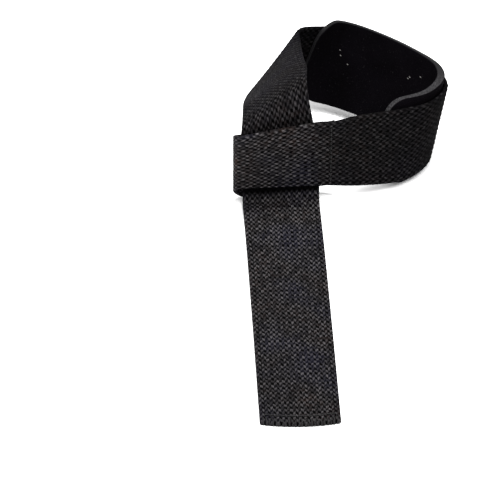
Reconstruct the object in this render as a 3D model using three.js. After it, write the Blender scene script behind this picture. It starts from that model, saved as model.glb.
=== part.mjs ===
import * as THREE from 'three';

// A padded weightlifting strap. One long piece of heavy cotton webbing, laid out ready to wear: its
// end is folded into a small sewn loop, the keeper, and the rest runs round in a ring for the wrist,
// down through the keeper and away over the floor as the tail. A soft pad follows the ring's inside.
// X is right along the front of the ring, Y is away from the tail, Z is up. Lengths are millimetres.

// Webbing
const strapWidth = 38;
const strapThickness = 2.6;
const edgeChamfer = 0.7;
const layerGap = 0.3;

// Ring: from the middle of the keeper to the right bend, and from the keeper to the far wall
const ringReach = 79;
const ringDepth = 92;

// Keeper: its two layers and the tail between them lie along one twisted sheet, which slopes back to
// the right and tilts forward on the left. The layers flare apart towards the top, most of all at the
// fold, and meet again at a seam beyond the tail's edge.
const keeperSlope = 0.16;
const keeperTiltLeft = -0.14;
const keeperTiltRight = -0.015;
const keeperFlare = 0.1;
const keeperGap = 0.9;
const keeperSeam = 7;
const seamBackHigh = 0.665;
const seamFrontHigh = 0.715;

// Tail: from the keeper to its cut end, how far it drifts to the right, and its bend on to the floor
const tailLength = 181;
const tailDrift = 8;
const tailBendRadius = 6;

// The strap is worked out round the middle of the keeper. The finished part's origin is on the floor
// under the flat tail, this far in front of the keeper.
const originForward = 20;

// Pad: its front end is this far along the strap from the middle of the keeper's front layer
const padWidth = 44;
const padLength = 126.5;
const padThickness = 4;
const padCornerRadius = 11;
const padRaise = 1.3;
const padFrontEnd = 56;

// Fineness of the lofts
const sampleLength = 1.2;
const turnPerSection = THREE.MathUtils.degToRad(7);
const longestSection = 24;
const facetsAcross = 4;
const cornerSteps = 5;
const foldSteps = 6;

const layerPitch = strapThickness + keeperGap;

// The strap's middle line and the straight lines that lie across it, which is all a strap can have:
// it bends along such lines and stays flat across. Each row is one of them. Its place is
// right = wide x strapWidth + reach x ringReach, back = deep x ringDepth + layer x one layer's pitch,
// up = high x strapWidth + rise x strapThickness. (lineRight, lineBack, lineUp) points along the line,
// towards the edge that is on top in the ring and on the right in the tail.
const columns = ['wide', 'reach', 'deep', 'high', 'layer', 'rise', 'lineRight', 'lineBack', 'lineUp'];

const frontRows = [
  // past the seam and on to the right bend
  [0.600, 0.200, 0.086, 0.660, 0, 0, 0.00, 0.18, 0.98],
  [0.300, 0.594, 0.187, 0.567, 0, 0, 0.03, 0.28, 0.96],
  [0.000, 0.891, 0.274, 0.542, 0, 0, 0.16, 0.26, 0.95],
];

const ringRows = [
  // right bend, far wall, left bend
  [0.000, 0.982, 0.400, 0.549, 0, 0, 0.21, 0.27, 0.94],
  [0.000, 0.965, 0.535, 0.534, 0, 0, 0.23, 0.36, 0.90],
  [0.000, 0.798, 0.704, 0.535, 0, 0, 0.20, 0.45, 0.87],
  [0.000, 0.561, 0.874, 0.548, 0, 0, 0.13, 0.44, 0.89],
  [0.100, 0.285, 0.956, 0.605, 0, 0, 0.21, 0.30, 0.93],
  [0.130, 0.115, 0.950, 0.670, 0, 0, 0.34, 0.20, 0.92],
  [0.080, 0.000, 0.924, 0.735, 0, 0, 0.47, 0.14, 0.88],
  [-0.040, 0.000, 0.852, 0.805, 0, 0, 0.57, 0.19, 0.80],
];

const roofRows = [
  // from the left bend forward over the opening and over the keeper's back layer
  [-0.077, 0.000, 0.727, 0.895, 0, 0, 0.67, 0.28, 0.69],
  [-0.093, 0.000, 0.567, 1.043, 0, 0, 0.73, 0.30, 0.61],
  [-0.094, 0.000, 0.414, 1.190, 0, 0, 0.78, 0.33, 0.53],
  [-0.080, 0.000, 0.266, 1.267, 0, 1, 0.82, 0.29, 0.49],
  [-0.086, 0.000, 0.155, 1.326, 0, 1, 0.82, 0.31, 0.48],
  [-0.088, 0.000, 0.092, 1.312, 0, 1.5, 0.82, 0.34, 0.45],
  [-0.088, 0.000, 0.041, 1.292, 0, 1.5, 0.84, 0.33, 0.42],
  [-0.086, 0.000, 0.005, 1.226, 0, 1.5, 0.87, 0.28, 0.40],
  [-0.075, 0.000, -0.009, 1.142, 0, 1, 0.90, 0.22, 0.38],
];

// Inside the keeper the tail's lines lie in the keeper's sheet and level out on the way down.
const insideColumns = ['wide', 'high', 'lineUp'];
const insideRows = [
  [-0.060, 1.075, 0.30],
  [-0.030, 0.868, 0.22],
  [-0.012, 0.645, 0.14],
  [-0.004, 0.428, 0.06],
];

// How high the middles of the keeper's layers are at its fold, its middle and its right end.
const keeperColumns = ['wide', 'back', 'front'];
const keeperRows = [
  [-0.50, 0.520, 0.785],
  [-0.25, 0.550, 0.780],
  [0.00, 0.575, 0.775],
  [0.25, 0.600, 0.772],
  [0.50, 0.620, 0.765],
];

function named(row, names) {
  return Object.fromEntries(names.map((name, i) => [name, row[i]]));
}

function placeRow(row) {
  const value = named(row, columns);
  return {
    middle: new THREE.Vector3(
      value.wide * strapWidth + value.reach * ringReach,
      value.deep * ringDepth + value.layer * layerPitch,
      value.high * strapWidth + value.rise * strapThickness,
    ),
    line: new THREE.Vector3(value.lineRight, value.lineBack, value.lineUp).normalize(),
  };
}

// The keeper's sheet: how far back it is at a place, and how it tilts there.
function sheetTilt(right) {
  return THREE.MathUtils.lerp(keeperTiltLeft, keeperTiltRight, right / strapWidth + 0.5);
}

function sheetBack(right, up) {
  return keeperSlope * right + sheetTilt(right) * (up - 0.7 * strapWidth);
}

// An upright line of one of the keeper's layers, in front of the sheet or behind it.
function keeperLine(right, up, layer) {
  const flare = layer * keeperFlare * Math.max(0, 0.5 - right / strapWidth);
  const back = sheetBack(right, up) + layer * layerPitch + flare * (up - 0.26 * strapWidth);
  return {
    middle: new THREE.Vector3(right, back, up),
    line: new THREE.Vector3(0, sheetTilt(right) + flare, 1).normalize(),
  };
}

function insideLine(row) {
  const value = named(row, insideColumns);
  const right = value.wide * strapWidth;
  const up = value.high * strapWidth;
  const half = strapWidth / 2;
  const rise = half * value.lineUp;
  const rightBack = sheetBack(right + half, up + rise);
  const leftBack = sheetBack(right - half, up - rise);
  const middleBack = (sheetBack(right, up) + (rightBack + leftBack) / 2) / 2;
  return {
    middle: new THREE.Vector3(right, middleBack, up),
    line: new THREE.Vector3(strapWidth, rightBack - leftBack, strapWidth * value.lineUp).normalize(),
  };
}

// A half turn from one line to another, bulging to the left by one layer's pitch.
function foldBetween(from, to) {
  const lines = [];
  for (let i = 1; i < foldSteps; i += 1) {
    const angle = (Math.PI * i) / foldSteps;
    const share = (1 - Math.cos(angle)) / 2;
    const middle = from.middle.clone().lerp(to.middle, share);
    middle.x -= layerPitch * Math.sin(angle);
    lines.push({ middle, line: from.line.clone().lerp(to.line, share).normalize() });
  }
  return lines;
}

// The tail: a quarter bend out of the keeper, then flat on the floor to the cut end.
function tailLines() {
  const lines = [];
  const floorHeight = strapThickness / 2;
  const bendSteps = 8;
  const start = insideLine([0, (floorHeight + tailBendRadius) / strapWidth, 0]);
  for (let i = 0; i <= bendSteps; i += 1) {
    const angle = (Math.PI / 2 / bendSteps) * i;
    const middle = start.middle.clone();
    middle.y -= tailBendRadius * (1 - Math.cos(angle));
    middle.z -= tailBendRadius * Math.sin(angle);
    lines.push({ middle, line: start.line.clone() });
  }
  for (const share of [0.02, 0.15, 0.5, 1]) {
    const middle = new THREE.Vector3(
      tailDrift * share ** 0.9,
      start.middle.y - tailBendRadius - (tailLength - tailBendRadius) * share,
      floorHeight,
    );
    lines.push({ middle, line: new THREE.Vector3(1, 0.03, 0).normalize() });
  }
  return lines;
}

function strapLines() {
  const keeper = keeperRows.map((row) => named(row, keeperColumns));
  const seamRight = strapWidth / 2 + keeperSeam;
  const back = keeper.map((row) => keeperLine(row.wide * strapWidth, row.back * strapWidth, 1)).reverse();
  const front = keeper.map((row) => keeperLine(row.wide * strapWidth, row.front * strapWidth, -1));
  const backSeam = keeperLine(seamRight, seamBackHigh * strapWidth, 0.5);
  const frontSeam = keeperLine(seamRight, seamFrontHigh * strapWidth, -0.5);
  const fold = foldBetween(back.at(-1), front[0]);
  const ring = [...frontRows, ...ringRows, ...roofRows].map(placeRow);
  const inside = insideRows.map(insideLine);
  return [backSeam, ...back, ...fold, ...front, frontSeam, ...ring, ...inside, ...tailLines()];
}

// Frames along the strap at short, even steps: the middle, the straight line across, the way out of
// the ring and the length so far.
function sampleStrap(lines) {
  const tipLength = strapWidth / 2;
  const middles = new THREE.CatmullRomCurve3(lines.map((l) => l.middle), false, 'centripetal');
  const tips = new THREE.CatmullRomCurve3(
    lines.map((l) => l.middle.clone().addScaledVector(l.line, tipLength)), false, 'centripetal');
  const frames = [];
  let length = 0;
  for (let i = 0; i + 1 < lines.length; i += 1) {
    const span = lines[i].middle.distanceTo(lines[i + 1].middle);
    const steps = Math.max(2, Math.ceil(span / sampleLength));
    const last = i + 2 === lines.length ? steps : steps - 1;
    for (let j = 0; j <= last; j += 1) {
      const t = (i + j / steps) / (lines.length - 1);
      const middle = middles.getPoint(t);
      const along = middles.getTangent(t);
      const line = tips.getPoint(t).sub(middle).normalize();
      const out = along.cross(line).normalize();
      if (frames.length) length += middle.distanceTo(frames.at(-1).middle);
      frames.push({ middle, line, out, length });
    }
  }
  return frames;
}

function frameAt(frames, length) {
  const next = Math.max(1, frames.findIndex((f) => f.length >= length));
  const a = frames[next - 1];
  const b = frames[next];
  const share = (length - a.length) / (b.length - a.length);
  const mix = (p, q) => p.clone().lerp(q, share);
  return {
    middle: mix(a.middle, b.middle),
    line: mix(a.line, b.line).normalize(),
    out: mix(a.out, b.out).normalize(),
    length,
  };
}

// Keeps only as many frames as the bends and twists need.
function thinOut(frames) {
  const kept = [frames[0]];
  let turned = 0;
  for (let i = 1; i + 1 < frames.length; i += 1) {
    turned += frames[i].out.angleTo(frames[i - 1].out);
    turned += frames[i].line.angleTo(frames[i - 1].line);
    const gone = frames[i].length - kept.at(-1).length;
    if (turned > turnPerSection || gone > longestSection) {
      kept.push(frames[i]);
      turned = 0;
    }
  }
  kept.push(frames.at(-1));
  return kept;
}

// A flat bar's outline with chamfered edges: low and high are measured across the strap from its
// middle, inner and outer along the way out of the ring.
function barOutline(frame, low, high, inner, outer, chamfer) {
  const corners = [];
  for (let i = 0; i <= facetsAcross; i += 1) {
    corners.push([low + chamfer + (high - low - 2 * chamfer) * (i / facetsAcross), inner]);
  }
  corners.push([high, inner + chamfer], [high, outer - chamfer]);
  for (let i = facetsAcross; i >= 0; i -= 1) {
    corners.push([low + chamfer + (high - low - 2 * chamfer) * (i / facetsAcross), outer]);
  }
  corners.push([low, outer - chamfer], [low, inner + chamfer]);
  return corners.map(([across, out]) => frame.middle.clone()
    .addScaledVector(frame.line, across)
    .addScaledVector(frame.out, out));
}

// One closed body through a row of outlines with the same number of points.
function loft(outlines) {
  const sides = outlines[0].length;
  const points = outlines.flat();
  const faces = [];
  for (let i = 0; i + 1 < outlines.length; i += 1) {
    for (let j = 0; j < sides; j += 1) {
      const k = (j + 1) % sides;
      const [a, b, c, d] = [i * sides + j, i * sides + k, (i + 1) * sides + k, (i + 1) * sides + j];
      faces.push(a, b, c, a, c, d);
    }
  }
  // The ends are closed by triangles that zigzag between the outline's two long sides.
  const lastStart = (outlines.length - 1) * sides;
  const zigzag = Array.from({ length: sides }, (_, k) => (k % 2 ? sides - (k + 1) / 2 : k / 2));
  for (let k = 0; k + 2 < sides; k += 1) {
    const [a, b, c] = zigzag.slice(k, k + 3).sort((p, q) => p - q);
    faces.push(a, c, b);
    faces.push(lastStart + a, lastStart + b, lastStart + c);
  }
  const geometry = new THREE.BufferGeometry();
  geometry.setAttribute('position', new THREE.Float32BufferAttribute(points.flatMap((p) => p.toArray()), 3));
  geometry.setIndex(faces);
  geometry.computeVertexNormals();
  return geometry;
}

// How much the pad's rounded corners take off its height at a place along the strap.
function padCut(length, start) {
  const fromEnd = Math.min(length - start, start + padLength - length);
  const short = padCornerRadius - Math.min(fromEnd, padCornerRadius);
  return padCornerRadius - Math.sqrt(Math.max(0, padCornerRadius ** 2 - short ** 2));
}

// Where the pad's ends and rounded corners need sections.
function padCornerPlaces(start) {
  const places = [];
  for (let i = 0; i <= cornerSteps; i += 1) {
    const inset = padCornerRadius * (1 - Math.cos((Math.PI / 2 / cornerSteps) * i));
    places.push(start + inset, start + padLength - inset);
  }
  return places;
}

function webbing(sections) {
  const half = strapWidth / 2;
  const skin = strapThickness / 2;
  const outlines = sections.map((f) => barOutline(f, -half, half, -skin, skin, edgeChamfer));
  const material = new THREE.MeshStandardMaterial({ color: 0x1a191b, roughness: 0.95, metalness: 0 });
  const mesh = new THREE.Mesh(loft(outlines), material);
  mesh.name = 'strap_webbing';
  return mesh;
}

// The pad lies against the inside of the ring, its corners rounded off.
function wristPad(sections, start) {
  const outer = -(strapThickness / 2 + layerGap);
  const outlines = sections.map((f) => {
    const half = padWidth / 2 - padCut(f.length, start);
    return barOutline(f, padRaise - half, padRaise + half, outer - padThickness, outer, edgeChamfer);
  });
  const material = new THREE.MeshStandardMaterial({ color: 0x0d0d0e, roughness: 1, metalness: 0 });
  const mesh = new THREE.Mesh(loft(outlines), material);
  mesh.name = 'wrist_pad';
  return mesh;
}

const frames = sampleStrap(strapLines());
const foldLength = frames.reduce((a, b) => (b.middle.x < a.middle.x ? b : a)).length;
const keeperMiddle = frames.find((f) => f.length > foldLength && f.middle.x > 0).length;
const padStart = keeperMiddle + padFrontEnd;

// The strap and the pad share their sections, so that the pad lies evenly against the strap.
const corners = padCornerPlaces(padStart).map((length) => frameAt(frames, length));
const clearOfCorners = thinOut(frames).filter(
  (f) => corners.every((c) => Math.abs(c.length - f.length) > sampleLength / 2));
const sections = [...clearOfCorners, ...corners].sort((a, b) => a.length - b.length);
const padSections = sections.filter((f) => f.length >= padStart && f.length <= padStart + padLength);

const strap = new THREE.Group();
for (const piece of [webbing(sections), wristPad(padSections, padStart)]) {
  piece.geometry.translate(0, originForward, 0);
  strap.add(piece);
}

export default strap;
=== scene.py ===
import bisect
import math
from collections import namedtuple

import bmesh
import bpy
from mathutils import Matrix, Vector


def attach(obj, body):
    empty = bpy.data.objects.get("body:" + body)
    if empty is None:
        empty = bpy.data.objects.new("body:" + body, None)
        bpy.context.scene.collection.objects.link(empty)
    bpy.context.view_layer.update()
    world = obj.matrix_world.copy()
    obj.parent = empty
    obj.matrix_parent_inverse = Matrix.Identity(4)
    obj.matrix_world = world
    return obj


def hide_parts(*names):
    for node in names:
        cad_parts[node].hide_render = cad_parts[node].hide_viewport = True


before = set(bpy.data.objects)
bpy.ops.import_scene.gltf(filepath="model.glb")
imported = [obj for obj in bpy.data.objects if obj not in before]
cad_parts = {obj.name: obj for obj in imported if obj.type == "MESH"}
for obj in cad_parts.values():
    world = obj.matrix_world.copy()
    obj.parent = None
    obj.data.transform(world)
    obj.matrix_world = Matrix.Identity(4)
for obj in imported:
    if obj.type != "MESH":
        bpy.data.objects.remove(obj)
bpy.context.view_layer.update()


# Webbing
# One strip of heavy cotton webbing, plain woven from doubled black yarns that stand up as staggered
# dots, with turned edges. One end is folded back as the keeper; the strip then runs round as the
# ring, down through the keeper and away over the floor as the tail, to its oversewn cut end.

# The keeper leans back by its tilt, about the tilt height, and its layers part by its flare, about the
# flare height. Where no length is meant, a value is a share or a slope.
STRAP_WIDTH = 0.038
STRAP_THICKNESS = 0.0026
RING_REACH = 0.079
RING_DEPTH = 0.092
KEEPER_SLOPE = 0.16
KEEPER_TILT_LEFT = -0.14
KEEPER_TILT_RIGHT = -0.015
KEEPER_TILT_HEIGHT = 0.7 * STRAP_WIDTH
KEEPER_FLARE = 0.1
KEEPER_FLARE_HEIGHT = 0.26 * STRAP_WIDTH
KEEPER_GAP = 0.0009
KEEPER_SEAM = 0.007
SEAM_BACK_HIGH = 0.665
SEAM_FRONT_HIGH = 0.715
SEAM_LAYER = 0.5
FOLD_STEPS = 6
TAIL_LENGTH = 0.181
TAIL_DRIFT = 0.008
TAIL_DRIFT_POWER = 0.9
TAIL_LINE_BACK = 0.03
TAIL_BEND_RADIUS = 0.006
TAIL_BEND_STEPS = 8
TAIL_SHARES = (0.02, 0.15, 0.5, 1)
ORIGIN_FORWARD = 0.020
LAYER_PITCH = STRAP_THICKNESS + KEEPER_GAP

# The strip bends along straight lines that cross it, so its lie is a list of those lines. They are the
# lines of the CAD part, as shares of the same sizes, with its origin 20 mm in front of the keeper.
# Columns: wide, reach, deep, high, layer and rise, then the line's direction right, back and up.
ring_rows = [
    # past the seam and on to the right bend
    (0.600, 0.200, 0.086, 0.660, 0, 0, 0.00, 0.18, 0.98),
    (0.300, 0.594, 0.187, 0.567, 0, 0, 0.03, 0.28, 0.96),
    (0.000, 0.891, 0.274, 0.542, 0, 0, 0.16, 0.26, 0.95),
    # right bend, far wall, left bend
    (0.000, 0.982, 0.400, 0.549, 0, 0, 0.21, 0.27, 0.94),
    (0.000, 0.965, 0.535, 0.534, 0, 0, 0.23, 0.36, 0.90),
    (0.000, 0.798, 0.704, 0.535, 0, 0, 0.20, 0.45, 0.87),
    (0.000, 0.561, 0.874, 0.548, 0, 0, 0.13, 0.44, 0.89),
    (0.100, 0.285, 0.956, 0.605, 0, 0, 0.21, 0.30, 0.93),
    (0.130, 0.115, 0.950, 0.670, 0, 0, 0.34, 0.20, 0.92),
    (0.080, 0.000, 0.924, 0.735, 0, 0, 0.47, 0.14, 0.88),
    (-0.040, 0.000, 0.852, 0.805, 0, 0, 0.57, 0.19, 0.80),
    # forward over the opening and over the keeper's back layer
    (-0.077, 0.000, 0.727, 0.895, 0, 0, 0.67, 0.28, 0.69),
    (-0.093, 0.000, 0.567, 1.043, 0, 0, 0.73, 0.30, 0.61),
    (-0.094, 0.000, 0.414, 1.190, 0, 0, 0.78, 0.33, 0.53),
    (-0.080, 0.000, 0.266, 1.267, 0, 1, 0.82, 0.29, 0.49),
    (-0.086, 0.000, 0.155, 1.326, 0, 1, 0.82, 0.31, 0.48),
    (-0.088, 0.000, 0.092, 1.312, 0, 1.5, 0.82, 0.34, 0.45),
    (-0.088, 0.000, 0.041, 1.292, 0, 1.5, 0.84, 0.33, 0.42),
    (-0.086, 0.000, 0.005, 1.226, 0, 1.5, 0.87, 0.28, 0.40),
    (-0.075, 0.000, -0.009, 1.142, 0, 1, 0.90, 0.22, 0.38),
]
# The tail inside the keeper. Columns: wide, high, and how far the line rises over the strap's width.
inside_rows = [
    (-0.060, 1.075, 0.30),
    (-0.030, 0.868, 0.22),
    (-0.012, 0.645, 0.14),
    (-0.004, 0.428, 0.06),
]
# The keeper. Columns: wide, then how high the middles of its back and front layers are.
keeper_rows = [
    (-0.50, 0.520, 0.785),
    (-0.25, 0.550, 0.780),
    (0.00, 0.575, 0.775),
    (0.25, 0.600, 0.772),
    (0.50, 0.620, 0.765),
]


def ring_line(row):
    """A line of the ring: its middle and its direction, as every line is given."""
    wide, reach, deep, high, layer, rise, right, back, up = row
    middle = Vector((
        wide * STRAP_WIDTH + reach * RING_REACH,
        deep * RING_DEPTH + layer * LAYER_PITCH,
        high * STRAP_WIDTH + rise * STRAP_THICKNESS,
    ))
    return middle, Vector((right, back, up)).normalized()


def sheet_tilt(right):
    """How far back the keeper leans for its height, which changes from its left end to its right."""
    share = right / STRAP_WIDTH + 0.5
    return KEEPER_TILT_LEFT + (KEEPER_TILT_RIGHT - KEEPER_TILT_LEFT) * share


def sheet_back(right, up):
    """How far back the middle between the keeper's layers is."""
    return KEEPER_SLOPE * right + sheet_tilt(right) * (up - KEEPER_TILT_HEIGHT)


def keeper_line(wide, high, layer):
    """A line of the keeper; its two layers stand further apart at the top, most of all at the fold."""
    right, up = wide * STRAP_WIDTH, high * STRAP_WIDTH
    flare = layer * KEEPER_FLARE * max(0, 0.5 - wide)
    back = sheet_back(right, up) + layer * LAYER_PITCH + flare * (up - KEEPER_FLARE_HEIGHT)
    return Vector((right, back, up)), Vector((0, sheet_tilt(right) + flare, 1)).normalized()


def inside_line(wide, high, line_up):
    """A line of the tail between the keeper's layers, lying along their slope and their lean."""
    right, up, half = wide * STRAP_WIDTH, high * STRAP_WIDTH, STRAP_WIDTH / 2
    right_back = sheet_back(right + half, up + half * line_up)
    left_back = sheet_back(right - half, up - half * line_up)
    middle_back = (sheet_back(right, up) + (right_back + left_back) / 2) / 2
    line = Vector((STRAP_WIDTH, right_back - left_back, STRAP_WIDTH * line_up))
    return Vector((right, middle_back, up)), line.normalized()


def fold_between(start, end):
    """Lines round the keeper's left end, from its back layer to its front one."""
    lines = []
    for step in range(1, FOLD_STEPS):
        angle = math.pi * step / FOLD_STEPS
        share = (1 - math.cos(angle)) / 2
        middle = start[0].lerp(end[0], share)
        middle.x -= LAYER_PITCH * math.sin(angle)
        lines.append((middle, start[1].lerp(end[1], share).normalized()))
    return lines


def tail_lines():
    """Down out of the keeper, round on to the floor, and along it to the cut end."""
    lines = []
    floor_height = STRAP_THICKNESS / 2
    start, line = inside_line(0, (floor_height + TAIL_BEND_RADIUS) / STRAP_WIDTH, 0)
    for step in range(TAIL_BEND_STEPS + 1):
        angle = math.pi / 2 / TAIL_BEND_STEPS * step
        forward = TAIL_BEND_RADIUS * (1 - math.cos(angle))
        down = TAIL_BEND_RADIUS * math.sin(angle)
        lines.append((start - Vector((0, forward, down)), line))
    for share in TAIL_SHARES:
        middle = Vector((
            TAIL_DRIFT * share ** TAIL_DRIFT_POWER,
            start.y - TAIL_BEND_RADIUS - (TAIL_LENGTH - TAIL_BEND_RADIUS) * share,
            floor_height,
        ))
        lines.append((middle, Vector((1, TAIL_LINE_BACK, 0)).normalized()))
    return lines


def strap_lines():
    """Every line of the strip, from its folded-back end to the cut end of the tail."""
    seam_wide = 0.5 + KEEPER_SEAM / STRAP_WIDTH
    back_seam = keeper_line(seam_wide, SEAM_BACK_HIGH, SEAM_LAYER)
    front_seam = keeper_line(seam_wide, SEAM_FRONT_HIGH, -SEAM_LAYER)
    back = [keeper_line(wide, back_high, 1) for wide, back_high, _ in reversed(keeper_rows)]
    front = [keeper_line(wide, front_high, -1) for wide, _, front_high in keeper_rows]
    fold = fold_between(back[-1], front[0])
    ring = [ring_line(row) for row in ring_rows]
    inside = [inside_line(*row) for row in inside_rows]
    return [back_seam, *back, *fold, *front, front_seam, *ring, *inside, *tail_lines()]


# The strip is a smooth curve through the lines' middles, and its right edge one through their tips.
# Samples follow it in short, even steps: length so far, middle, line across, and way out of the ring.
SAMPLE_LENGTH = 0.0006
SMALLEST_GAP = 1e-6
Sample = namedtuple("Sample", "at middle across out")


def curve_span(points, index):
    """The centripetal curve from one point to the next: the four coefficients of a cubic."""
    here, there = points[index], points[index + 1]
    before = points[index - 1] if index else 2 * here - there
    after = points[index + 2] if index + 2 < len(points) else 2 * there - here
    pairs = ((before, here), (here, there), (there, after))
    gap_before, gap, gap_after = (max((end - start).length ** 0.5, SMALLEST_GAP) for start, end in pairs)
    leave = (here - before) / gap_before - (there - before) / (gap_before + gap) + (there - here) / gap
    arrive = (there - here) / gap - (after - here) / (gap + gap_after) + (after - there) / gap_after
    leave, arrive = leave * gap, arrive * gap
    return here, leave, 3 * (there - here) - 2 * leave - arrive, 2 * (here - there) + leave + arrive


def curve_place(span, share):
    start, leave, square, cube = span
    return start + leave * share + square * share ** 2 + cube * share ** 3


def curve_slope(span, share):
    start, leave, square, cube = span
    return leave + 2 * square * share + 3 * cube * share ** 2


def strap_samples(lines):
    """The samples along the strip, from its folded-back end to its cut end."""
    middles = [middle for middle, line in lines]
    tips = [middle + line * (STRAP_WIDTH / 2) for middle, line in lines]
    found = []
    length = 0.0
    last_span = len(lines) - 2
    for index in range(last_span + 1):
        middle_span, tip_span = curve_span(middles, index), curve_span(tips, index)
        steps = max(2, math.ceil((middles[index + 1] - middles[index]).length / SAMPLE_LENGTH))
        # the last span has one more sample, at the cut end itself
        for step in range(steps + (index == last_span)):
            share = step / steps
            middle = curve_place(middle_span, share)
            across = (curve_place(tip_span, share) - middle).normalized()
            along = curve_slope(middle_span, share).normalized()
            if found:
                length += (middle - found[-1].middle).length
            found.append(Sample(length, middle, across, along.cross(across).normalized()))
    return found


samples = strap_samples(strap_lines())
sample_lengths = [sample.at for sample in samples]
strap_length = samples[-1].at
fold_length = min(samples, key=lambda sample: sample.middle.x).at
keeper_middle = next(sample.at for sample in samples if sample.at > fold_length and sample.middle.x > 0)
tail_start = next(sample.at for sample in reversed(samples) if sample.middle.z > STRAP_THICKNESS)
origin_shift = Vector((0, ORIGIN_FORWARD, 0))


def strap_point(at, across, out):
    """A point of the strip: how far along, how far across from its middle, how far out of the ring."""
    low = min(max(bisect.bisect_right(sample_lengths, at) - 1, 0), len(samples) - 2)
    before, after = samples[low], samples[low + 1]
    share = (at - before.at) / (after.at - before.at)
    middle = before.middle.lerp(after.middle, share)
    line = before.across.lerp(after.across, share).normalized()
    outwards = before.out.lerp(after.out, share).normalized()
    return middle + origin_shift + line * across + outwards * out


WARP_COLUMNS = 28
PICK_LENGTH = 0.00183
WEAVE_RELIEF = 0.00024
EDGE_BULGE = 0.0008
EDGE_RELIEF_SHARE = 0.35
EDGE_STEPS = 4
END_BOW = 0.0022
END_BOW_REACH = 0.014
# the inner face's share of the wear, which also paints shade inside the ring
BACK_WEAR_AND_SHADE_SHARE = 0.5
MERGE_DISTANCE = 1e-6

# The weave is counted in columns and picks: how far the yarns wander, how their twist turns along a
# pick and from column to column, and how far the second yarn of a float is set along the first.
YARN_WANDER = 0.9
YARN_TWIST = 22.0
YARN_TWIST_STEP = 13.0
DASH_SLANT = 0.2
EDGE_GROOVE_COLUMN = 1.5
# The hollow colour is painted shade, the new-yarn black also serves as painted shade where the wear is set
# low, and the worn colour is partly a painted highlight.
HOLLOW_SHADE_COLOUR = (0.0001, 0.0001, 0.0001, 1)
YARN_UNWORN_AND_SHADE = (0.0010, 0.0009, 0.0011, 1)
YARN_BLACK = (0.0034, 0.0031, 0.0035, 1)
YARN_WORN_HIGHLIGHT = (0.150, 0.141, 0.145, 1)
TINT_BROWN = (0.0130, 0.0065, 0.0040, 1)
TINT_BLUE = (0.0042, 0.0044, 0.0100, 1)

face_half = STRAP_WIDTH / 2 - EDGE_BULGE
face_height = STRAP_THICKNESS / 2 - WEAVE_RELIEF
column_width = 2 * face_half / WARP_COLUMNS
pick_count = round(strap_length / PICK_LENGTH)

# How much the yarns are worn by rubbing, with painted shade set into the same numbers: the yarns inside
# the keeper are new, and the near-zero values just under the keeper, where the tail comes down and bends
# on to the floor, and the low ones along the ring's right front, are painted shade.
# Columns: how far along the strip, and how much.
wear_and_shade_stops = [
    (0.0, 0.5),
    (fold_length, 0.85),
    (keeper_middle + 0.010, 0.72),
    (keeper_middle + 0.030, 0.22),
    (keeper_middle + 0.110, 0.06),
    (keeper_middle + 0.200, 0.2),
    (tail_start - 0.060, 0.32),
    (tail_start - 0.030, 0.3),
    (tail_start - 0.012, 0.0),
    (tail_start - 0.004, 0.02),
    (tail_start - 0.001, 0.8),
    (tail_start + 0.050, 0.6),
    (strap_length, 0.5),
]


def wear_and_shade_at(at):
    """How much the yarns are worn at a length along the strip, painted shade included."""
    for (low, low_value), (high, high_value) in zip(wear_and_shade_stops, wear_and_shade_stops[1:]):
        if at <= high:
            return low_value + (high_value - low_value) * (at - low) / (high - low)
    return wear_and_shade_stops[-1][1]


def end_bow(across):
    """How far past the strap's length the cut end stands, which bows out at the middle."""
    return END_BOW * (0.5 - (2 * across / STRAP_WIDTH) ** 2)


def strap_section():
    """Once round the flat section, in rows of how far across, which face, and share of the relief."""
    section = []
    for face in (1, -1):
        # a face, then the turned edge that leads round to the other face
        for step in range(2 * WARP_COLUMNS + 1):
            section.append((face * (step * column_width / 2 - face_half), face, 1.0))
        for step in range(1, EDGE_STEPS):
            angle = math.pi * step / EDGE_STEPS
            across = face_half + EDGE_BULGE * math.sin(angle)
            section.append((face * across, face * math.cos(angle), EDGE_RELIEF_SHARE))
    return section + section[:1]


class Wiring:
    """Short ways to add nodes to one tree and to join them: a socket is linked, a plain value is set."""

    def __init__(self, tree):
        self.tree = tree

    def fill(self, socket, value):
        if isinstance(value, bpy.types.NodeSocket):
            self.tree.links.new(value, socket)
        else:
            socket.default_value = value

    def add(self, kind, **given):
        """One node; names in small letters are its settings, and names with a capital its inputs."""
        node = self.tree.nodes.new("ShaderNode" + kind)
        for name, value in given.items():
            if name[0].islower():
                setattr(node, name, value)
            else:
                self.fill(node.inputs[name], value)
        return node

    def maths(self, operation, *values, clamp=False):
        node = self.add("Math", operation=operation, use_clamp=clamp)
        for socket, value in zip(node.inputs, values):
            self.fill(socket, value)
        return node.outputs[0]

    def ramp(self, value, start, end):
        """0 at the start, 1 at the end, and level beyond them."""
        slope = 1 / (end - start)
        return self.maths("MULTIPLY_ADD", value, slope, -start * slope, clamp=True)

    def between(self, value, low, high):
        """The low number where the value is 0, the high one where it is 1."""
        return self.maths("MULTIPLY_ADD", value, high - low, low)

    def mix(self, factor, low, high):
        """A colour between two; a Mix node's colours are its inputs 6 and 7 and its output 2."""
        node = self.add("Mix", data_type="RGBA")
        for place, value in ((0, factor), (6, low), (7, high)):
            self.fill(node.inputs[place], value)
        return node.outputs[2]


def new_group(name, given, results):
    """A shader node group with named inputs and outputs: the group, its wiring and its two ends."""
    group = bpy.data.node_groups.new(name, "ShaderNodeTree")
    for socket, kind in given:
        group.interface.new_socket(socket, in_out="INPUT", socket_type="NodeSocket" + kind)
    for socket in results:
        group.interface.new_socket(socket, in_out="OUTPUT", socket_type="NodeSocketFloat")
    ends = group.nodes.new("NodeGroupInput"), group.nodes.new("NodeGroupOutput")
    return group, Wiring(group), *ends


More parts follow.
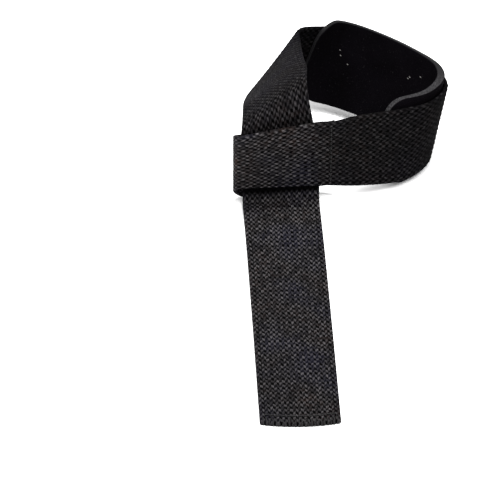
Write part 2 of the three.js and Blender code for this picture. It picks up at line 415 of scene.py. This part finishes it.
def new_material(name, specular):
    material = bpy.data.materials.new(name)
    material.use_nodes = True
    surface = material.node_tree.nodes["Principled BSDF"]
    surface.inputs["Specular IOR Level"].default_value = specular
    return material, Wiring(material.node_tree), surface


def new_piece(name, mesh, material):
    data = bpy.data.meshes.new(name)
    mesh.to_mesh(data)
    mesh.free()
    data.materials.append(material)
    for face in data.polygons:
        face.use_smooth = True
    piece = bpy.data.objects.new(name, data)
    bpy.context.collection.objects.link(piece)
    return piece


def weave_group():
    """Plain weave on a UV map that counts warp columns and picks."""
    results = ("Height", "Float", "Hollow Shade", "Yarn", "Fibre")
    group, wire, given, result = new_group("plain weave", [("UV", "Vector")], results)
    uv = given.outputs["UV"]
    # the yarns wander a little, so the grid is never quite regular
    wander = wire.add("TexNoise", noise_dimensions="2D", Vector=uv, Scale=0.45, Detail=2.0)
    shifted = wire.add("VectorMath", operation="MULTIPLY_ADD")
    wire.fill(shifted.inputs[0], wander.outputs["Color"])
    wire.fill(shifted.inputs[1], (YARN_WANDER, YARN_WANDER, 0))
    wire.fill(shifted.inputs[2], uv)
    split = wire.add("SeparateXYZ", Vector=shifted.outputs[0])
    column = wire.maths("SUBTRACT", split.outputs["X"], YARN_WANDER / 2)
    pick = wire.maths("SUBTRACT", split.outputs["Y"], YARN_WANDER / 2)
    # a float has two yarns side by side, one set a little further along: a dash that slants one way in
    # one column and the other way in the next
    strand = wire.maths("SINE", wire.maths("MULTIPLY", column, 2 * math.pi))
    across = wire.maths("COSINE", wire.maths("MULTIPLY", column, math.pi))
    slanted = wire.maths("MULTIPLY_ADD", wire.maths("MULTIPLY", strand, across), DASH_SLANT, pick)
    along = wire.maths("COSINE", wire.maths("MULTIPLY", slanted, math.pi))
    checker = wire.maths("MULTIPLY", across, along)
    doubled = wire.maths("ABSOLUTE", strand)
    # each yarn is twisted, and its fibres are uneven
    turned = wire.maths("MULTIPLY_ADD", pick, YARN_TWIST, wire.maths("MULTIPLY", column, YARN_TWIST_STEP))
    twist = wire.maths("MULTIPLY_ADD", wire.maths("SINE", turned), 0.5, 0.5)
    cell = wire.add("CombineXYZ", X=wire.maths("ROUND", column), Y=wire.maths("ROUND", pick))
    each = wire.add("TexWhiteNoise", noise_dimensions="2D", Vector=cell.outputs[0])
    fibres = wire.add("TexNoise", noise_dimensions="2D", Vector=uv, Scale=3.1, Detail=5.0, Roughness=0.7)
    height = wire.maths("MULTIPLY", doubled, 0.35)
    height = wire.maths("MULTIPLY_ADD", twist, 0.22, height)
    height = wire.maths("MULTIPLY_ADD", fibres.outputs[0], 0.45, height)
    # between the floats are hollows, painted near black as shade; every second one is deep
    deep = wire.between(wire.maths("LESS_THAN", across, 0.0), 0.35, 1.0)
    hollow_shade = wire.maths("MULTIPLY", wire.ramp(checker, 0.068, -0.386), deep)
    # a fine groove runs beside each turned edge, painted dark as shade
    flat = wire.add("SeparateXYZ", Vector=uv)
    from_edge = wire.maths("PINGPONG", flat.outputs["X"], WARP_COLUMNS / 2)
    from_groove = wire.maths("ABSOLUTE", wire.maths("SUBTRACT", from_edge, EDGE_GROOVE_COLUMN))
    hollow_shade = wire.maths("MAXIMUM", hollow_shade, wire.ramp(from_groove, 0.257, -0.029))
    # the two yarns of a float stand up at their own middles
    top = wire.maths("POWER", wire.ramp(checker, -1.0, 1.0), 2.2)
    top = wire.maths("MULTIPLY", top, wire.between(doubled, 0.3, 1.0))
    for name, value in zip(results, (height, top, hollow_shade, each.outputs["Value"], fibres.outputs[0])):
        wire.fill(result.inputs[name], value)
    return group


def webbing_material():
    material, wire, surface = new_material("black cotton webbing", specular=0.012)
    place = wire.add("TexCoord").outputs["Object"]
    wear_and_shade = wire.add("Attribute", attribute_name="wear_and_shade").outputs["Fac"]
    weave_uv = wire.add("UVMap", uv_map="weave").outputs["UV"]
    weave = wire.add("Group", node_tree=plain_weave, UV=weave_uv).outputs
    # broad, faint changes of tone: faded brown in places, and a cooler black where it is new
    patches = wire.add("TexNoise", Vector=place, Scale=34.0, Detail=3.0).outputs[0]
    specks = wire.add("TexNoise", Vector=place, Scale=300.0, Detail=3.0).outputs[0]
    tone = wire.mix(wire.ramp(patches, 0.475, 0.725), YARN_BLACK, TINT_BLUE)
    brown = wire.maths("MULTIPLY", wire.ramp(patches, 0.5, 0.25), wire.ramp(specks, 0.425, 0.675))
    tone = wire.mix(brown, tone, TINT_BROWN)
    # yarn that is little worn keeps its first, deeper black; where the low values are painted shade, this
    # deep black is painted shade too
    tone = wire.mix(wire.maths("MULTIPLY", wear_and_shade, 1.2, clamp=True), YARN_UNWORN_AND_SHADE, tone)
    # the tops of the floats are worn pale, some yarns more than others; the pale tops are also a painted
    # highlight
    worn_highlight_tops = wire.maths("MULTIPLY", weave["Float"], wire.between(weave["Yarn"], 0.22, 1.17))
    worn_highlight_tops = wire.maths("MULTIPLY", worn_highlight_tops, wire.ramp(weave["Fibre"], 0.2115, 0.5961))
    tone = wire.mix(wire.maths("MULTIPLY", worn_highlight_tops, wear_and_shade), tone, YARN_WORN_HIGHLIGHT)
    # the hollows and the edge grooves are painted shade, near black
    tone = wire.mix(weave["Hollow Shade"], tone, HOLLOW_SHADE_COLOUR)
    bump = wire.add("Bump", Strength=0.7, Distance=0.00022, Height=weave["Height"])
    wire.fill(surface.inputs["Base Color"], tone)
    wire.fill(surface.inputs["Roughness"], wire.between(weave["Fibre"], 0.66, 0.91))
    wire.fill(surface.inputs["Normal"], bump.outputs["Normal"])
    return material


plain_weave = weave_group()

# A flat grid with a column of vertices for each row of the section, and two rows to a pick, is laid
# along the strip. Its two long sides meet and are merged, and its two ends are filled.
section = strap_section()
stations = len(section) - 1
rows = 2 * pick_count
mesh = bmesh.new()
wear_and_shade_layer = mesh.verts.layers.float.new("wear_and_shade")
weave_map = mesh.loops.layers.uv.new("weave")
bmesh.ops.create_grid(mesh, x_segments=stations, y_segments=rows, size=1)
places = {}
for vert in mesh.verts:
    places[vert] = round((vert.co.x + 1) / 2 * stations), round((vert.co.y + 1) / 2 * rows)
for face in mesh.faces:
    for loop in face.loops:
        station, row = places[loop.vert]
        loop[weave_map].uv = (section[station][0] + face_half) / column_width, row / 2
for vert, (station, row) in places.items():
    across, out, relief_share = section[station]
    column = (across + face_half) / column_width
    relief = math.cos(math.pi * column) * math.cos(math.pi * row / 2) * WEAVE_RELIEF * relief_share
    height = out * face_height + (relief if out >= 0 else -relief)
    at = strap_length * row / rows
    near_end = max(0, 1 - (strap_length - at) / END_BOW_REACH)
    vert.co = strap_point(at + end_bow(across) * near_end, across, height)
    # the inner face gets only a share of the wear, which darkens the inside of the ring as painted shade
    vert[wear_and_shade_layer] = wear_and_shade_at(at) * (1.0 if out > 0 else BACK_WEAR_AND_SHADE_SHARE)
bmesh.ops.remove_doubles(mesh, verts=mesh.verts, dist=MERGE_DISTANCE)
bmesh.ops.holes_fill(mesh, edges=[edge for edge in mesh.edges if edge.is_boundary], sides=0)
bmesh.ops.recalc_face_normals(mesh, faces=mesh.faces)
webbing = new_piece("strap_webbing_woven", mesh, webbing_material())
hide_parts("strap_webbing")
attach(webbing, "root")


# Thread
# Bonded black thread: overcast stitches that wrap the tail's cut end with a run of stitches behind
# them, and one row across the keeper's right end, where the folded end is sewn down.

THREAD_RADIUS = 0.00034
THREAD_LOW = (0.0012, 0.0011, 0.0012, 1)
THREAD_HIGH = (0.007, 0.0066, 0.007, 1)
THREAD_PLY_SCALE = 900.0
OVERCAST_COUNT = 24
OVERCAST_MARGIN = 0.002
OVERCAST_BACK = 0.0012
OVERCAST_REACH = 0.0021
OVERCAST_UNEVEN = 0.0004
OVERCAST_UNEVEN_BEAT = 1.7
OVERCAST_SLANT = 0.0005
OVERCAST_SLANT_BEAT = 2.3
OVERCAST_SUNK = 0.00012
WRAP_PAST = 0.0001
WRAP_SHORT = 0.0001
WRAP_FLATNESS = 0.8
RUN_COUNT = 13
RUN_MARGIN = 0.004
RUN_BACK = 0.0052
RUN_HALF = 0.00125
SEAM_COUNT = 12
SEAM_MARGIN = 0.006
SEAM_IN = 0.0025
SEAM_HALF = 0.0012
SEAM_SUNK = 0.0001


def plies_group():
    """The plies of a twisted thread, as bands that wind along it."""
    group, wire, given, result = new_group("thread plies", [("Position", "Vector")], ["Ply"])
    bands = wire.add(
        "TexWave",
        wave_type="BANDS",
        bands_direction="DIAGONAL",
        Vector=given.outputs["Position"],
        Scale=THREAD_PLY_SCALE,
        Distortion=1.5,
    )
    wire.fill(result.inputs["Ply"], bands.outputs["Fac"])
    return group


def thread_material(name, low, high):
    material, wire, surface = new_material(name, specular=0.2)
    place = wire.add("TexCoord").outputs["Object"]
    ply = wire.add("Group", node_tree=thread_plies, Position=place).outputs["Ply"]
    bump = wire.add("Bump", Distance=0.0001, Height=ply)
    wire.fill(surface.inputs["Base Color"], wire.mix(ply, low, high))
    wire.fill(surface.inputs["Roughness"], wire.between(ply, 0.62, 0.47))
    wire.fill(surface.inputs["Normal"], bump.outputs["Normal"])
    return material


def spread_across(count, margin):
    """Even places across the strap, clear of its edges."""
    width = STRAP_WIDTH - margin
    return [(number + 0.5) / count * width - width / 2 for number in range(count)]


def add_stitch(mesh, place, half_sizes, slant=0.0):
    """One plump stitch lying on the cloth; places and half sizes are along, across and out."""
    at, across, out = place
    half_along, half_across, half_out = half_sizes
    for vert in bmesh.ops.create_icosphere(mesh, subdivisions=2, radius=1)["verts"]:
        x, y, z = vert.co
        leaning = across + half_across * y + slant * x
        vert.co = strap_point(at + half_along * x, leaning, out + half_out * z)


thread_plies = plies_group()
skin = STRAP_THICKNESS / 2
mesh = bmesh.new()
for number, across in enumerate(spread_across(OVERCAST_COUNT, OVERCAST_MARGIN)):
    end = strap_length + end_bow(across)
    slant = OVERCAST_SLANT * math.sin(number * OVERCAST_SLANT_BEAT)
    reach = OVERCAST_REACH + OVERCAST_UNEVEN * math.sin(number * OVERCAST_UNEVEN_BEAT)
    over_face = (reach, THREAD_RADIUS, THREAD_RADIUS)
    round_end = (THREAD_RADIUS * WRAP_FLATNESS, THREAD_RADIUS, skin - WRAP_SHORT)
    add_stitch(mesh, (end - OVERCAST_BACK, across, skin - OVERCAST_SUNK), over_face, slant)
    add_stitch(mesh, (end + WRAP_PAST, across, 0), round_end)
for across in spread_across(RUN_COUNT, RUN_MARGIN):
    behind = strap_length + end_bow(across) - RUN_BACK
    add_stitch(mesh, (behind, across, skin), (THREAD_RADIUS, RUN_HALF, THREAD_RADIUS))
seam_right = STRAP_WIDTH / 2 + KEEPER_SEAM - SEAM_IN
seam_at = next(sample.at for sample in samples if sample.at > fold_length and sample.middle.x > seam_right)
for across in spread_across(SEAM_COUNT, SEAM_MARGIN):
    add_stitch(mesh, (seam_at, across, skin - SEAM_SUNK), (THREAD_RADIUS, SEAM_HALF, THREAD_RADIUS))
black_thread = thread_material("black bonded thread", THREAD_LOW, THREAD_HIGH)
strap_thread = new_piece("strap_thread", mesh, black_thread)
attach(strap_thread, "root")


# Wrist pad
# A slab of closed-cell foam between two black knit faces, die-cut with round corners so that its
# grey foam shows at the cut edge. It is sewn to the inside of the webbing near its two ends.

PAD_WIDTH = 0.044
PAD_LENGTH = 0.1265
PAD_THICKNESS = 0.004
PAD_CORNER = 0.011
PAD_RAISE = 0.0013
PAD_FRONT_END = 0.056
PAD_GAP = 0.0003
PAD_ROWS = 96
PAD_COLUMNS = 34
PAD_CROWDING = 0.35
RIM_ROUNDING = 0.0006
RIM_STEPS = 3
DIP_DEPTH = 0.0008
DIP_REACH = 0.0016
DIP_PAST_ROW = 0.004
# The pad is sewn down along a short row of stitches near each end, and the knit dips there.
# Columns: how far along the pad, and from how far across to how far across.
stitch_rows = [
    (0.017, -0.012, 0.014),
    (0.110, -0.014, 0.016),
]
KNIT_LOW = (0.0004, 0.0003, 0.0004, 1)
KNIT_HIGH = (0.0022, 0.0018, 0.0026, 1)
KNIT_LINT = (0.035, 0.033, 0.034, 1)
KNIT_LOOP_SCALE = 1900.0
FOAM_LOW = (0.020, 0.019, 0.021, 1)
FOAM_HIGH = (0.046, 0.044, 0.047, 1)
FOAM_FAR_WALL_DARK = (0.0045, 0.0042, 0.0048, 1)
FOAM_PORE = (0.004, 0.004, 0.0044, 1)
FOAM_PORE_SCALE = 1500.0
FOAM_DARK_FROM = 0.0582
FOAM_DARK_BY = 0.0764

pad_start = keeper_middle + PAD_FRONT_END
pad_outer = -(STRAP_THICKNESS / 2 + PAD_GAP)


def grain_group():
    """Fine loops or pores, and broad drifts of tone."""
    inputs = [("Position", "Vector"), ("Fine Scale", "Float")]
    group, wire, given, result = new_group("pad grain", inputs, ["Fine", "Broad"])
    position = given.outputs["Position"]
    fine = wire.add("TexNoise", Vector=position, Scale=given.outputs["Fine Scale"], Detail=4.0)
    broad = wire.add("TexNoise", Vector=position, Scale=55.0, Detail=3.0)
    wire.fill(result.inputs["Fine"], fine.outputs[0])
    wire.fill(result.inputs["Broad"], broad.outputs[0])
    return group


def grained_material(name, specular, fine_scale):
    """A material with the pad's grain, its wiring, surface and place, and the fine and broad grain."""
    material, wire, surface = new_material(name, specular)
    place = wire.add("TexCoord").outputs["Object"]
    grain = wire.add("Group", node_tree=pad_grain, Position=place)
    wire.fill(grain.inputs["Fine Scale"], fine_scale)
    bump = wire.add("Bump", Distance=0.00025, Height=grain.outputs["Fine"])
    wire.fill(surface.inputs["Normal"], bump.outputs["Normal"])
    return material, wire, surface, place, grain.outputs["Fine"], grain.outputs["Broad"]


def knit_material():
    material, wire, surface, place, fine, broad = grained_material("black knit", 0.008, KNIT_LOOP_SCALE)
    lint = wire.ramp(fine, 0.667, 0.833)
    tone = wire.mix(lint, wire.mix(broad, KNIT_LOW, KNIT_HIGH), KNIT_LINT)
    wire.fill(surface.inputs["Base Color"], tone)
    wire.fill(surface.inputs["Roughness"], wire.between(fine, 0.8, 1.0))
    return material


def foam_material():
    """Grey at the cut edge round the front and the right bend, and darker along the far wall."""
    material, wire, surface, place, fine, broad = grained_material("grey foam", 0.08, FOAM_PORE_SCALE)
    split = wire.add("SeparateXYZ", Vector=place)
    far_wall_dark = wire.ramp(split.outputs["Y"], FOAM_DARK_FROM, FOAM_DARK_BY)
    tone = wire.mix(far_wall_dark, wire.mix(broad, FOAM_LOW, FOAM_HIGH), FOAM_FAR_WALL_DARK)
    tone = wire.mix(wire.ramp(fine, 0.367, 0.7), FOAM_PORE, tone)
    wire.fill(surface.inputs["Base Color"], tone)
    wire.fill(surface.inputs["Roughness"], wire.between(fine, 0.7, 0.9))
    return material


def pad_half(at):
    """Half the pad's width at a place along it, rounded off at the corners."""
    from_end = min(at, PAD_LENGTH - at)
    short = PAD_CORNER - min(from_end, PAD_CORNER)
    return PAD_WIDTH / 2 - (PAD_CORNER - math.sqrt(max(0, PAD_CORNER ** 2 - short ** 2)))


def stitch_dip(at, across):
    """How deep the rows of stitches pull the knit in at a place."""
    pulls = [
        math.exp(-((at - row_at) / DIP_REACH) ** 2)
        for row_at, low, high in stitch_rows
        if low - DIP_PAST_ROW < across < high + DIP_PAST_ROW
    ]
    return DIP_DEPTH * max(pulls, default=0.0)


def pad_place(corner):
    """Where a corner of the flat grid lies on the pad; the rows crowd towards its two ends."""
    crowded = PAD_CROWDING * math.sin(corner.y * math.pi / 2) + (1 - PAD_CROWDING) * corner.y
    at = (crowded + 1) / 2 * PAD_LENGTH
    return at, PAD_RAISE + corner.x * pad_half(at)


# A flat grid is pushed out into a slab, and its outer and inner faces are laid along the webbing.
pad_grain = grain_group()
mesh = bmesh.new()
bmesh.ops.create_grid(mesh, x_segments=PAD_COLUMNS, y_segments=PAD_ROWS, size=1)
pushed = bmesh.ops.extrude_face_region(mesh, geom=mesh.faces[:], use_keep_orig=True)
inner = {item for item in pushed["geom"] if isinstance(item, bmesh.types.BMVert)}
for face in mesh.faces:
    if len({vert in inner for vert in face.verts}) == 2:
        face.material_index = 1
for vert in mesh.verts:
    at, across = pad_place(vert.co)
    depth = PAD_THICKNESS - stitch_dip(at, across) if vert in inner else 0
    vert.co = strap_point(pad_start + at, across, pad_outer - depth)
bmesh.ops.recalc_face_normals(mesh, faces=mesh.faces)
rim_edges = [edge for edge in mesh.edges if len({face.material_index for face in edge.link_faces}) == 2]
bmesh.ops.bevel(
    mesh,
    geom=rim_edges,
    offset=RIM_ROUNDING,
    segments=RIM_STEPS,
    profile=0.5,
    affect="EDGES",
    material=-1,
)
pad = new_piece("wrist_pad_knit", mesh, knit_material())
pad.data.materials.append(foam_material())
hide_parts("wrist_pad")
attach(pad, "root")


# Pad thread
# The pale thread that sews the pad down. It is pulled deep into the knit, so only a few short bits
# of it show on the pad's face.

PALE_LOW = (0.03, 0.029, 0.027, 1)
PALE_HIGH = (0.17, 0.165, 0.155, 1)
PALE_HALF_SIZES = (0.00055, 0.00025, 0.00022)
PALE_SLANT = 0.0002
# Columns: how far along the pad, and how far across it.
pale_places = [
    (0.1090, 0.0088),
    (0.1080, 0.0063),
    (0.1030, 0.0028),
    (0.0650, 0.0087),
    (0.0642, 0.0098),
    (0.0575, 0.0128),
]

mesh = bmesh.new()
for at, across in pale_places:
    add_stitch(mesh, (pad_start + at, across, pad_outer - PAD_THICKNESS), PALE_HALF_SIZES, PALE_SLANT)
pale_thread = thread_material("pale thread", PALE_LOW, PALE_HIGH)
pad_thread = new_piece("pad_thread", mesh, pale_thread)
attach(pad_thread, "root")


# Studio
# A plain pale floor under a white sky, lit by soft lamps, with the camera looking down on the strap
# from in front as in the photograph.

FLOOR_HALF = 3.0
FLOOR_WHITE = (0.93, 0.93, 0.93, 1)
FLOOR_ROUGHNESS = 0.9
SKY_BRIGHTNESS = 1.2
CAMERA_ELEVATION = math.radians(36)
CAMERA_DISTANCE = 2.5
PIXELS_PER_METRE = 2030
IMAGE_SIDE = 480
SENSOR_WIDTH = 36.0
VIEW_END = 20
AIM = Vector((0, ORIGIN_FORWARD, 0.008))
AIM_PIXEL = (281, 188)
# Columns: name, place, size and power.
lamps = [
    ("lamp_left", (-1.2, -0.7, 1.7), 1.4, 14),
    ("lamp_right", (0.7, -0.9, 2.0), 0.8, 28),
    ("lamp_top", (0.05, 0.10, 2.0), 0.4, 46),
    ("lamp_back", (0.3, 1.2, 1.9), 1.6, 6),
]

paper, paper_wire, paper_surface = new_material("white paper", specular=0.5)
paper_wire.fill(paper_surface.inputs["Base Color"], FLOOR_WHITE)
paper_wire.fill(paper_surface.inputs["Roughness"], FLOOR_ROUGHNESS)
mesh = bmesh.new()
bmesh.ops.create_grid(mesh, x_segments=1, y_segments=1, size=FLOOR_HALF)
floor = new_piece("floor", mesh, paper)

view = Matrix.Rotation(math.pi / 2 - CAMERA_ELEVATION, 3, "X")
right, up, back = view.col
metres_right = (IMAGE_SIDE / 2 - AIM_PIXEL[0]) / PIXELS_PER_METRE
metres_up = (AIM_PIXEL[1] - IMAGE_SIDE / 2) / PIXELS_PER_METRE
camera_data = bpy.data.cameras.new("camera")
camera_data.sensor_width = SENSOR_WIDTH
camera_data.lens = PIXELS_PER_METRE * CAMERA_DISTANCE / IMAGE_SIDE * SENSOR_WIDTH
camera_data.clip_end = VIEW_END
camera = bpy.data.objects.new("camera", camera_data)
bpy.context.collection.objects.link(camera)
camera.location = AIM + right * metres_right + up * metres_up + back * CAMERA_DISTANCE
camera.rotation_euler = (math.pi / 2 - CAMERA_ELEVATION, 0, 0)
bpy.context.scene.camera = camera

for name, place, size, power in lamps:
    data = bpy.data.lights.new(name, "AREA")
    data.shape = "SQUARE"
    data.size = size
    data.energy = power
    lamp = bpy.data.objects.new(name, data)
    bpy.context.collection.objects.link(lamp)
    lamp.location = place
    lamp.rotation_euler = (-Vector(place)).to_track_quat("-Z", "Y").to_euler()

world = bpy.data.worlds.new("studio")
world.use_nodes = True
sky = world.node_tree.nodes["Background"]
sky.inputs["Color"].default_value = (1, 1, 1, 1)
sky.inputs["Strength"].default_value = SKY_BRIGHTNESS
bpy.context.scene.world = world
bpy.context.scene.view_settings.view_transform = "Standard"
